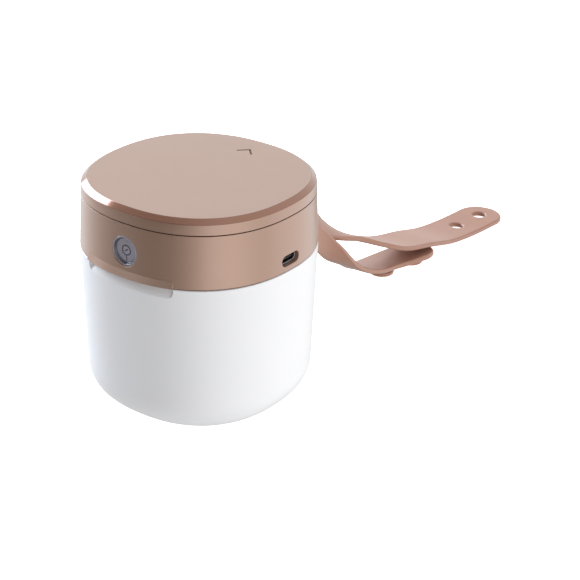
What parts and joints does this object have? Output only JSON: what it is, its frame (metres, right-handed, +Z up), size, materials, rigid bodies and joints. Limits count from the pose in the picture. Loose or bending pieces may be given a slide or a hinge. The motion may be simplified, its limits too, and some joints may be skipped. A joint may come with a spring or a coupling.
{
  "type": "pacifier sterilizer case",
  "caption": "Squarish cylindrical case with a hinged head that holds a lamp, battery and push button over a lined bowl, with a twisted silicone strap that snaps shut",
  "frame": {"origin": "centre of the bowl's flat foot, on the table", "axes": "+Z up along the case; -Y is the front with the button; +X is the side with the charging socket; +Y is the side of the hinge and strap"},
  "size_m": [0.0838, 0.2549, 0.087],
  "materials": {
    "white_shell": "satin moulded",
    "tan_shell": "satin moulded",
    "bright_liner": "vacuum-metallised",
    "steel": "drawn and polished",
    "magnet": "nickel plated",
    "seal_rubber": "moulded silicone",
    "lamp_glass": "clear",
    "lamp_core": "white solder mask",
    "led": "clear-topped package",
    "lead_rubber": "insulated wire",
    "circuit_board": "solder mask",
    "black_plastic": "moulded",
    "white_plastic": "moulded",
    "cell_foil": "laminated foil",
    "foam": "closed-cell foam",
    "clear_sleeve": "polished",
    "button_plastic": "smoked translucent",
    "tan_silicone": "matte silicone"
  },
  "bodies": {
    "base": {"bowl": "white_shell", "inner_liner": "bright_liner", "hinge_pin": "steel", "strap_bar": "steel", "base_magnet": "magnet"},
    "head": {"head_ring": "tan_shell", "top_cap": "tan_shell", "head_floor": "white_shell", "rim_seal": "seal_rubber", "head_magnet": "magnet", "head_screws": "steel", "uv_window": "lamp_glass", "reflector": "bright_liner", "reflector_screws": "steel", "lamp_board": "lamp_core", "uv_leds": "led", "lamp_leads": "lead_rubber", "main_board": "circuit_board", "board_screws": "steel", "board_components": "black_plastic", "hall_sensor": "black_plastic", "status_leds": "led", "tact_switch": "black_plastic", "usb_socket": "steel", "usb_tongue": "black_plastic", "battery": "cell_foil", "battery_pad": "foam", "battery_connector": "white_plastic", "battery_leads": "lead_rubber", "button_bezel": "clear_sleeve"},
    "button": {"power_button": "button_plastic", "switch_plunger": "white_plastic"},
    "strap_body": {"strap": "tan_silicone"}
  },
  "joints": [
    {"name": "head_hinge", "type": "hinge", "parent": "base", "child": "head", "pos_m": [0, 0.04515, 0.061], "axis": [-1, 0, 0], "range_deg": [0, 95]},
    {"name": "button_press", "type": "slide", "parent": "head", "child": "button", "axis": [0, 1, 0], "range_m": [0, 0.0005], "stiffness_N_per_m": 600},
    {"name": "strap_swing", "type": "hinge", "parent": "base", "child": "strap_body", "pos_m": [0, 0.04845, 0.051], "axis": [0, 0, 1], "range_deg": [-30, 30]}
  ]
}
